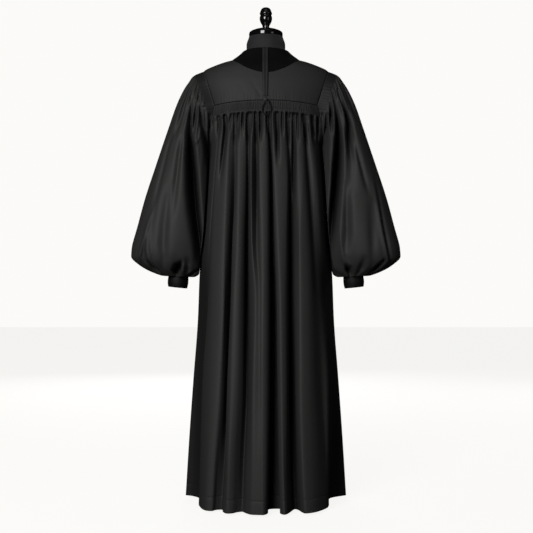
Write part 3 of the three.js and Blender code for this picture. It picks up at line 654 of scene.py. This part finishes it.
def buildFront(name, node, folds, sign, seed):
    finer = fronts["finer"]
    shoulder = alongPath(shoulderLine, 10 * finer)
    neckline = alongPath(collarBefore, 18 * finer) - (0, 1)
    head = np.vstack([shoulder[:-1], neckline])[::-1]
    rows = []
    for z in rowHeights(fronts["rows"]):
        left = (0.5, float(bodyDepth(0.5, z, 1)))
        plan = planRow(foldLines(folds, z, 1, z), finer, z, 1, left, edgePoint(z, 1), 4)
        rows.append(np.column_stack([plan, np.full(len(plan), z)]))
    chest = rows[0][:, [0, 2]]
    upper = upperPatch(head, chest, np.linspace(0, 1, fronts["upperRows"]) ** 2.1, 1)
    points = np.concatenate([upper[:-1], np.array(rows)])
    points[:, :, 1] -= 0.9 * bump(points[:, :, 2] - fronts["hemStitch"], 1.6)
    points[:, :, 0] *= sign
    if sign > 0:
        points = points[:, ::-1]
    wrinkle(points, 70, 2.0, seed, (1, 1, 0.3))
    made = clothObject(name, points.copy(), fronts["wall"])
    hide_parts(node)
    made.data.materials.append(gownTwill)
    return made


gownFrontLeft = buildFront("gown_front_left", "front_left", frontLeftFolds, -1, 11.7)
gownFrontRight = buildFront("gown_front_right", "front_right", frontRightFolds, 1, 17.9)
print("fronts made")

# outer x and z, inner x and z, half depth, gather height
sleeveRings = np.array([
    (192, 1319, 172, 1092, 77, 1.2),
    (219, 1309, 177, 1082, 88, 2.4),
    (246, 1276, 175, 1062, 94, 4),
    (275, 1219, 172, 1035, 98, 4),
    (300, 1148, 171, 1000, 100, 2.6),
    (340, 1030, 171, 925, 103, 0.6),
    (375, 923, 172, 852, 106, 0),
    (397, 842, 174, 795, 108, 0),
    (415, 775, 180, 755, 104, 1),
    (417, 748, 188, 728, 95, 2),
    (393, 722, 196, 707, 78, 3),
    (352, 699, 208, 692, 57, 3),
    (318, 688, 224, 684, 42, 2),
    (303, 690, 239, 688, 31, 0.8),
])
# the sleeves' shade values are painted shade: in the shirred band at the head and in the deep creases
sleeves = {"behind": 240, "before": 144, "rowsEach": (16, 16, 14, 10, 12, 10, 8, 7, 4, 5, 7, 6, 3),
           "waves": 22, "gatherBehind": 0.22, "gatherBefore": 0.6, "wall": 1.0, "clear": 2,
           "shirring": 30, "pleats": 72, "pleatHeight": 0.22, "shade": 0.62,
           "fan": (180, 1400), "fanSpread": 200, "ripples": 13.5, "ripple": 3.6, "rippleEnds": (40, 190),
           "creaseDepth": 1.3, "frontCreases": 0.7, "hollows": (8, 46), "hollowShade": 0.9,
           "seamDip": 0.9, "puff": 2.0, "tuck": 2, "wrinkledFrom": 24}

# creases seen from behind: x, z, depth (below zero a ridge) and half width along each
leftCreases = [
    ((231, 1259, 3, 4), (249, 1205, 11, 5.5), (258, 1172, 15, 6), (270, 1133, 8, 7), (276, 1100, 0, 8)),
    ((213, 1253, 6, 4), (225, 1223, 10, 4), (229, 1187, 14, 5), (230, 1151, 20, 6), (231, 1112, 34, 9),
     (228, 1076, 52, 11), (224, 1007, 64, 13), (221, 947, 66, 14), (216, 887, 62, 14), (207, 812, 54, 13),
     (200, 752, 38, 12), (192, 709, 10, 9)),
    ((210, 1220, 3, 4), (213, 1193, 10, 5), (216, 1163, 15, 6), (218, 1133, 10, 6), (218, 1100, 0, 6)),
    ((203, 1229, 3, 3.5), (200, 1202, 8, 4), (195, 1163, 12, 4.5), (189, 1124, 18, 5), (183, 1097, 22, 6),
     (177, 1067, 26, 7), (171, 1022, 20, 8)),
    ((189, 1198, 8, 3.5), (187, 1169, 0, 4)),
    ((172, 1192, 8, 4), (174, 1160, 0, 4)),
    ((170, 1178, 8, 5), (167, 1133, 12, 5), (165, 1067, 10, 6)),
    ((200, 1181, -2, 4), (199, 1133, -4, 4), (201, 1103, -3, 4), (209, 1091, -3, 5), (219, 1103, -2, 4),
     (224, 1133, 0, 4)),
    ((327, 944, 0, 6), (345, 872, -4, 6), (356, 842, -5, 6), (371, 791, -7, 5), (381, 752, -7, 5),
     (389, 731, -3, 5)),
    ((351, 872, 0, 8), (357, 812, -5, 8), (357, 767, -7, 8), (351, 737, -8, 8), (342, 719, -5, 8)),
    ((368, 800, 0, 8), (372, 762, 5, 7), (368, 735, 4, 7)),
    ((282, 977, 0, 14), (297, 917, 7, 14), (306, 842, 9, 14), (309, 782, 9, 14), (308, 743, 7, 12),
     (315, 706, 3, 10)),
    ((357, 731, 14, 5), (346, 715, 26, 6), (331, 701, 14, 6)),
    ((258, 727, 8, 6), (268, 717, 36, 8), (276, 703, 36, 8), (275, 690, 10, 7)),
    ((258, 727, 8, 5), (260, 711, 16, 5), (267, 696, 8, 6)),
    ((248, 721, -5, 8), (252, 704, -8, 8), (255, 689, -4, 7)),
    ((237, 747, 0, 8), (237, 727, 8, 9), (237, 708, 8, 9)),
    ((207, 705, 10, 5), (225, 693, 14, 5), (240, 684, 6, 5)),
    ((276, 1130, 0, 6), (295, 1090, 6, 6), (316, 1000, 6, 7), (335, 915, 4, 7), (352, 830, 0, 7)),
    ((250, 1130, 0, 6), (259, 1070, 7, 7), (268, 990, 8, 8), (276, 915, 5, 9), (282, 850, 0, 9)),
]
rightCreases = [
    ((232, 1271, 3, 4), (250, 1232, 7, 5), (268, 1187, 6, 6), (289, 1133, 0, 8)),
    ((217, 1253, 6, 4), (226, 1223, 10, 5), (238, 1199, 14, 5), (247, 1178, 22, 7), (253, 1151, 28, 9),
     (254, 1112, 30, 11), (256, 1067, 20, 12), (257, 1028, 10, 14), (255, 960, 4, 16)),
    ((205, 1241, 6, 4), (213, 1208, 12, 4.5), (217, 1163, 24, 6), (219, 1121, 40, 9), (219, 1073, 54, 10.5),
     (216, 1022, 62, 11), (212, 962, 62, 11), (206, 887, 52, 11), (202, 827, 36, 10), (193, 767, 18, 9),
     (187, 731, 8, 7)),
    ((197, 1210, 6, 4), (197, 1175, 20, 5.5), (196, 1145, 15, 5), (197, 1116, 0, 5)),
    ((185, 1177, 6, 4), (184, 1139, 17, 5.5), (178, 1112, 17, 5), (173, 1091, 12, 5), (169, 1070, 0, 4)),
    ((172, 1190, 9, 4), (170, 1160, 0, 4)),
    ((160, 1175, 6, 4), (160, 1142, 10, 5), (160, 1112, 12, 5), (157, 1067, 10, 5)),
    ((220, 862, 0, 7), (226, 782, -5, 7), (232, 743, -7, 8), (244, 722, -7, 8), (259, 712, -4, 8)),
    ((244, 960, 4, 11), (244, 872, 12, 11), (245, 812, 12, 11), (241, 755, 0, 10)),
    ((243, 719, 12, 6), (252, 709, 36, 8), (259, 692, 14, 7)),
    ((301, 751, 0, 9), (289, 714, 10, 10), (283, 699, 6, 8)),
    ((319, 902, 3, 14), (322, 812, 7, 14), (322, 731, 4, 12)),
    ((319, 1007, 0, 8), (337, 902, -5, 8), (346, 842, -6, 8), (358, 782, -6, 7), (370, 731, -5, 7)),
    ((328, 1007, 0, 6), (346, 902, 5, 6), (356, 842, 7, 6), (368, 782, 8, 6), (379, 731, 5, 6)),
    ((358, 733, 10, 5), (340, 714, 24, 6), (324, 700, 14, 6)),
    ((187, 711, 9, 5), (208, 702, 10, 5), (232, 687, 7, 5)),
    ((262, 1130, 0, 6), (281, 1050, 7, 7), (300, 975, 6, 8), (312, 925, 0, 8)),
]


def sleeveRows():
    rings = len(sleeveRings)
    steps = [i + np.arange(count) / count for i, count in enumerate(sleeves["rowsEach"])]
    along = np.concatenate(steps + [[rings - 1]])
    return along, [smoothTable(np.arange(rings), sleeveRings[:, i], along) for i in range(6)]


def fromArmhole(x, z):
    # distance down the sleeve from the seam that it hangs on
    (ax, az), (bx, bz) = shoulderEnd, yokeCorner
    t = np.clip(((x - ax) * (bx - ax) + (z - az) * (bz - az)) / ((bx - ax) ** 2 + (bz - az) ** 2), 0, 1)
    return np.hypot(x - ax - t * (bx - ax), z - az - t * (bz - az))


def sided(points, shades, sign):
    # puts a piece drawn for the right on its own side, its columns still anticlockwise
    points[:, :, 0] *= sign
    return (points[:, ::-1].copy(), shades[:, ::-1]) if sign > 0 else (points, shades)


def buildSleeve(name, node, creases, sign, seed):
    behind, before = sleeves["behind"], sleeves["before"]
    turn = math.pi * np.concatenate([np.arange(behind) / behind, 1 + np.arange(before) / before])
    along, table = sleeveRows()
    facing = np.abs(np.sin(turn)) ** 0.5
    rows, shades = [], []
    for k, outX, outZ, inX, inZ, half, gather in zip(along, *table):
        out, back = np.cos(turn), turn <= math.pi
        share = np.where(back, sleeves["gatherBehind"], sleeves["gatherBefore"])
        ripple = gather * np.cos(sleeves["waves"] * turn) * share * (1 - fade(out, 0.75, 0.95))
        x = (outX + inX) / 2 + (outX - inX) / 2 * out * (1 + ripple / 200)
        z = (outZ + inZ) / 2 + (outZ - inZ) / 2 * out
        y = -np.sin(turn) * (half + ripple)
        blend = max(0, 1 - k)
        if blend:
            mix = blend * blend * (3 - 2 * blend)
            edgeZ = (shoulderEnd[1] + underarm) / 2 + (shoulderEnd[1] - underarm) / 2 * out
            edges = np.array([edgePoint(level, -1 if seen else 1) for level, seen in zip(edgeZ, back)])
            x += (edges[:, 0] + 0.3 - 2.5 * fade(-out, 0.8, 0.97) - x) * mix
            y += (edges[:, 1] - y) * mix
            z += (edgeZ - z) * mix
        away = fromArmhole(x, z)
        free = fade(away, sleeves["shirring"] - 5, sleeves["shirring"] + 5)
        sunk = sleeves["creaseDepth"] * sum(creaseDepth(x, z, crease) for crease in creases)
        sunkFront = sleeves["frontCreases"] * sum(creaseDepth(x - 8, z + 14, crease) for crease in creases)
        sunk = np.where(back, sunk, sunkFront) * free * facing
        y -= np.sign(y) * np.minimum(sunk, 0.85 * np.abs(y))
        x -= sunk * np.maximum(0, out) * 0.35
        fanX, fanZ = sleeves["fan"]
        across = np.where(x > fanX, (x - fanX) * sleeves["fanSpread"] / (fanZ - z), x - fanX)
        ripple = np.sin(2 * math.pi * across / sleeves["ripples"] + 1.6 * np.sin(across / 21))
        life = 1 - fade(away, *sleeves["rippleEnds"])
        y -= np.sign(y) * sleeves["ripple"] * ripple * free * life * facing
        shirred = (1 - free) * fade(away, 0, 4)
        pleat = np.cos(sleeves["pleats"] * turn + 1.8 * np.sin(9 * turn))
        y += np.sign(y) * sleeves["pleatHeight"] * pleat * shirred
        # painted shade: the shirred band at the head and the deep creases are darkened in the colour,
        # standing in for their shadow
        paintedFoldShade = sleeves["hollowShade"] * fade(sunk, *sleeves["hollows"])
        shade = sleeves["shade"] * shirred * (1 - fade(k, 1, 4)) + paintedFoldShade
        shades.append(np.minimum(weave["mostShade"], shade))
        y -= np.sign(y) * sleeves["seamDip"] * bump(away - sleeves["shirring"] + 1, 1.8) * (k > 0.1)
        y += np.sign(y) * sleeves["puff"] * bump(away - sleeves["shirring"] - 9, 8) * np.abs(np.sin(turn))
        # the innermost columns go a little into the body at the underarm, so that no light shows
        tucked = fade(-out, 0.9, 0.99) * bump(z - underarm + 12, 14)
        x += (np.minimum(x, bodyWidth(y, z, 1) - sleeves["tuck"]) - x) * tucked
        for side in (-1, 1):
            here = (np.sign(y) == side) & (z < 1240) if k >= 0.5 else np.zeros(len(x), bool)
            deep = ringSize(z, side)[1]
            clear = (2.5 + sleeves["clear"]) * fade(underarm - z, 20, 60)
            keepOut = bodyWidth(y, z, side) - sleeves["tuck"] + clear
            x = np.where(here & (np.abs(y) < deep), np.maximum(x, keepOut), x)
        rows.append(np.column_stack([x, y, z]))
    points = np.array(rows)
    wrinkle(points[sleeves["wrinkledFrom"]:], 55, 2.5, seed, (1, 1, 0.4))
    points, shades = sided(points, np.array(shades), sign)
    made = clothObject(name, points, sleeves["wall"], closed=True, shade=shades)
    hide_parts(node)
    made.data.materials.append(gownTwill)
    return made


sleeveLeft = buildSleeve("gown_sleeve_left", "sleeve_left", leftCreases, -1, 23.3)
sleeveRight = buildSleeve("gown_sleeve_right", "sleeve_right", rightCreases, 1, 29.1)
print("sleeves made")

# the cuffs' shade is painted shadow from the sleeve that hangs over them
cuffs = {"lean": 6, "top": (271, 688.2), "foot": (273.5, 652), "radii": (31, 32, 29.5),
         "wall": 1.2, "rows": 14, "columns": 96, "shade": 1}


def buildCuff(name, node, sign):
    rows = []
    turn = np.linspace(0, 2 * math.pi, cuffs["columns"], endpoint=False)
    for r in range(cuffs["rows"] + 1):
        share = r / cuffs["rows"]
        radius = float(smoothTable((0, 0.5, 1), cuffs["radii"], share))
        middleX = cuffs["top"][0] + (cuffs["foot"][0] - cuffs["top"][0]) * share
        middleZ = cuffs["top"][1] + (cuffs["foot"][1] - cuffs["top"][1]) * share
        out = radius * np.cos(turn)
        z = middleZ + out * math.sin(math.radians(cuffs["lean"])) * share
        rows.append(np.column_stack([middleX + out, -radius * np.sin(turn), z]))
    points = np.array(rows)
    # painted shadow: the whole cuff is darkened as if in the shadow of the sleeve above it
    points, shades = sided(points, np.full(points.shape[:2], cuffs["shade"]), sign)
    made = clothObject(name, points, cuffs["wall"], closed=True, shade=shades)
    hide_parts(node)
    made.data.materials.append(gownTwill)
    return made


cuffLeft = buildCuff("gown_cuff_left", "cuff_left", -1)
cuffRight = buildCuff("gown_cuff_right", "cuff_right", 1)
print("cuffs made")

strap = {"x": -1.5, "halfWidth": 9.3, "head": 1381, "foot": 1226, "wall": 1.4, "gap": 1.4, "rise": 2.8,
         "groove": 0.05, "lowFrom": 1312, "lowTo": 1232, "taper": 0.14, "flattened": 0.75, "shade": 0.5}
button = {"x": -2, "z": 1216.5, "radius": 7, "rise": 4.5, "seat": 3.4}


def buildStrap():
    rows = []
    for z in np.linspace(strap["head"], strap["foot"], 90):
        across = np.linspace(-1, 1, 33)
        low = float(fade(z, strap["lowFrom"], strap["lowTo"]))
        x = strap["x"] + strap["halfWidth"] * across * (1 - strap["taper"] * low)
        left = across < strap["groove"]
        spot = np.where(left, (across + 1) / (strap["groove"] + 1), (1 - across) / (1 - strap["groove"]))
        flat = np.where(left, 1 - strap["flattened"] * low, 1)
        rise = strap["rise"] * np.abs(np.sin(math.pi * spot)) ** 0.6 * flat
        y = -(bodyDepth(x, z, -1) + strap["wall"] + strap["gap"] + rise)
        rows.append(np.column_stack([x, y, np.full(len(x), z)]))
    points = np.array(rows)
    # painted shade: the whole strap is darkened evenly in the colour
    shades = np.full(points.shape[:2], strap["shade"])
    made = clothObject("gown_strap", points, strap["wall"], shade=shades)
    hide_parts("back_strap")
    made.data.materials.append(gownTwill)


def buildButton():
    mesh = bmesh.new()
    bmesh.ops.create_uvsphere(mesh, u_segments=32, v_segments=20, radius=1)
    seat = float(bodyDepth(button["x"], button["z"], -1)) + button["seat"]
    for vert in mesh.verts:
        x, y, z = vert.co
        depth = seat + max(0, z) * button["rise"]
        across, up = button["x"] + x * button["radius"], button["z"] + y * button["radius"]
        vert.co = Vector((across, -depth, up)) / 1000
    bmesh.ops.remove_doubles(mesh, verts=mesh.verts, dist=1e-7)
    bmesh.ops.recalc_face_normals(mesh, faces=mesh.faces)
    for face in mesh.faces:
        face.smooth = True
    made = meshObject("gown_button", mesh)
    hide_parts("button")
    made.data.materials.append(gownTwill)


buildStrap()
buildButton()
print("strap and button made")

# height, half width, depth behind, depth in front
formRings = np.array([
    (1427, 52.5, 52.5, 52.5),
    (1402, 60, 57, 57),
    (1383, 60, 58.5, 58),
    (1363, 79, 67, 65.5),
    (1345, 101, 75.5, 73),
    (1337, 130, 81, 78),
    (1327, 157, 86, 83),
    (1311, 186, 92, 90),
    (1296, 200.5, 98, 96),
    (1276, 205, 102.5, 101),
    (1240, 196, 108, 107),
    (1203, 179, 109, 110),
    (1092, 160, 111, 120),
    (1000, 142, 106, 112),
    (900, 150, 116, 112),
    (820, 164, 124, 116),
    (775, 160, 120, 112),
    (760, 150, 110, 104),
])


def buildTorso():
    turn = np.linspace(0, 2 * math.pi, 128, endpoint=False)
    heights = np.concatenate([np.linspace(1427, 1300, 60), np.linspace(1296, 760, 70)])
    rows = []
    for z in heights:
        wide = float(smoothTable(formRings[:, 0], formRings[:, 1], z))
        behind = float(smoothTable(formRings[:, 0], formRings[:, 2], z))
        before = float(smoothTable(formRings[:, 0], formRings[:, 3], z))
        power = 2 / roundness + (1 - 2 / roundness) * float(fade(z, 1376, 1396))
        c, s = np.cos(turn), np.sin(turn)
        deep = np.where(s < 0, behind, before)
        x = np.sign(c) * wide * np.abs(c) ** power
        y = np.sign(s) * deep * np.abs(s) ** power
        rows.append(np.column_stack([x, y, np.full(len(turn), z)]))
    points = np.array(rows)
    seam = bump(points[:, :, 0], 0.9) * (points[:, :, 2] > 1370)
    points[:, :, 1] -= np.sign(points[:, :, 1]) * 0.6 * seam
    made = clothObject("form_body", points, None, closed=True)
    cap = bmesh.new()
    cap.from_mesh(made.data)
    bmesh.ops.holes_fill(cap, edges=[edge for edge in cap.edges if edge.is_boundary])
    cap.to_mesh(made.data)
    cap.free()
    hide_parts("form_torso")
    made.data.materials.append(formJersey)


# turned profiles: radius and height
capProfile = [(0.01, 1427), (52, 1427), (52.3, 1437), (51.6, 1441.5), (47, 1445), (36, 1449.5), (22, 1453.5),
              (10.2, 1455), (0.01, 1455)]
finialProfile = [(0.01, 1455), (10.2, 1455), (10.6, 1463), (13.2, 1467), (16.8, 1473.5), (19, 1480.5),
                 (19.6, 1486), (18.8, 1491.5), (16.6, 1495), (18.8, 1498.5), (19.2, 1501.5),
                 (17.6, 1505.5), (16.6, 1508.5), (14.4, 1514), (10, 1518.3), (0.01, 1520.5)]


def buildTurned(name, node, profile, sharp, material):
    mesh = bmesh.new()
    run = []
    for (ra, za), (rb, zb) in zip(profile, profile[1:]):
        run += [(ra + (rb - ra) * s / 3, za + (zb - za) * s / 3) for s in range(3)]
    run.append(profile[-1])
    run = np.array(run)
    for _ in range(2):
        middle = (run[:-2] + 2 * run[1:-1] + run[2:]) / 4
        near = [min(abs(point - spot).sum() for spot in np.array(sharp)) for point in run[1:-1]]
        keep = np.array(near) < 0.6
        run[1:-1] = np.where(keep[:, None], run[1:-1], middle)
    verts = [mesh.verts.new((r / 1000, 0, z / 1000)) for r, z in run]
    edges = [mesh.edges.new(pair) for pair in zip(verts, verts[1:])]
    bmesh.ops.spin(mesh, geom=verts + edges, cent=(0, 0, 0), axis=(0, 0, 1), dvec=(0, 0, 0),
                   angle=2 * math.pi, steps=72, use_merge=True, use_duplicate=False)
    bmesh.ops.remove_doubles(mesh, verts=mesh.verts, dist=2e-5)
    bmesh.ops.recalc_face_normals(mesh, faces=mesh.faces)
    for face in mesh.faces:
        face.smooth = True
    made = meshObject(name, mesh)
    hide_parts(node)
    made.data.materials.append(material)


buildTorso()
buildTurned("form_cap", "form_neck_cap", capProfile, [(52, 1427), (10.2, 1455)], turnedGloss)
buildTurned("form_knob", "form_finial", finialProfile, [(10.2, 1455), (16.6, 1495)], turnedGloss)
for nodeName in ("stand_pole", "stand_base"):
    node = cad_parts[nodeName]
    node.data.materials.clear()
    node.data.materials.append(standPaint)
print("dress form made")

studio = {"backdrop": (0.965, 0.957, 0.94), "floorGrey": 0.10, "floorGlow": 0.93, "ambient": 0.007,
          "key": 114, "fill": 8, "top": 2, "front": 80, "frontFill": 22}


def buildFloor():
    mesh = bmesh.new()
    bmesh.ops.create_grid(mesh, x_segments=8, y_segments=8, size=9)
    data = bpy.data.meshes.new("floor")
    mesh.to_mesh(data)
    mesh.free()
    made = bpy.data.objects.new("floor", data)
    scene.collection.objects.link(made)
    made.visible_diffuse = made.visible_glossy = False
    material, _, _, shader = newMaterial("studioFloor")
    setInputs(shader, {"Base Color": (studio["floorGrey"],) * 3 + (1,), "Roughness": 1,
                       "Specular IOR Level": 0, "Emission Color": (*studio["backdrop"], 1),
                       "Emission Strength": studio["floorGlow"]})
    data.materials.append(material)


def areaLight(name, power, size, place, target, glossy=True):
    data = bpy.data.lights.new(name, "AREA")
    data.energy = power
    data.shape = "RECTANGLE"
    data.size, data.size_y = size
    made = bpy.data.objects.new(name, data)
    scene.collection.objects.link(made)
    made.visible_glossy = glossy
    made.location = place
    made.rotation_euler = (Vector(target) - Vector(place)).to_track_quat("-Z", "Y").to_euler()


buildFloor()
areaLight("keyLight", studio["key"], (1.3, 1.8), (-1.3, -3.05, 1.75), (0, 0, 0.8))
areaLight("fillLight", studio["fill"], (0.9, 1.8), (2.3, -2.4, 1.2), (0, 0, 0.75))
areaLight("frontLight", studio["front"], (1.8, 1.8), (-0.5, 3.4, 1.7), (0, 0, 0.8), glossy=False)
areaLight("frontFill", studio["frontFill"], (1.2, 1.8), (2.3, 2.6, 1.3), (0, 0, 0.8), glossy=False)
areaLight("topLight", studio["top"], (1.6, 1.2), (0, -1.2, 3.0), (0, 0, 0.9))
world = bpy.data.worlds.new("studio")
scene.world = world
world.use_nodes = True
skyNodes, skyLinks = world.node_tree.nodes, world.node_tree.links
dim = skyNodes["Background"]
setInputs(dim, {"Color": (1, 1, 1, 1), "Strength": studio["ambient"]})
bright = skyNodes.new("ShaderNodeBackground")
bright.inputs["Color"].default_value = (*studio["backdrop"], 1)
sight = skyNodes.new("ShaderNodeLightPath")
either = skyNodes.new("ShaderNodeMixShader")
skyLinks.new(sight.outputs["Is Camera Ray"], either.inputs["Fac"])
skyLinks.new(dim.outputs["Background"], either.inputs[1])
skyLinks.new(bright.outputs["Background"], either.inputs[2])
skyLinks.new(either.outputs["Shader"], skyNodes["World Output"].inputs["Surface"])
print("studio made")

bpy.context.view_layer.update()
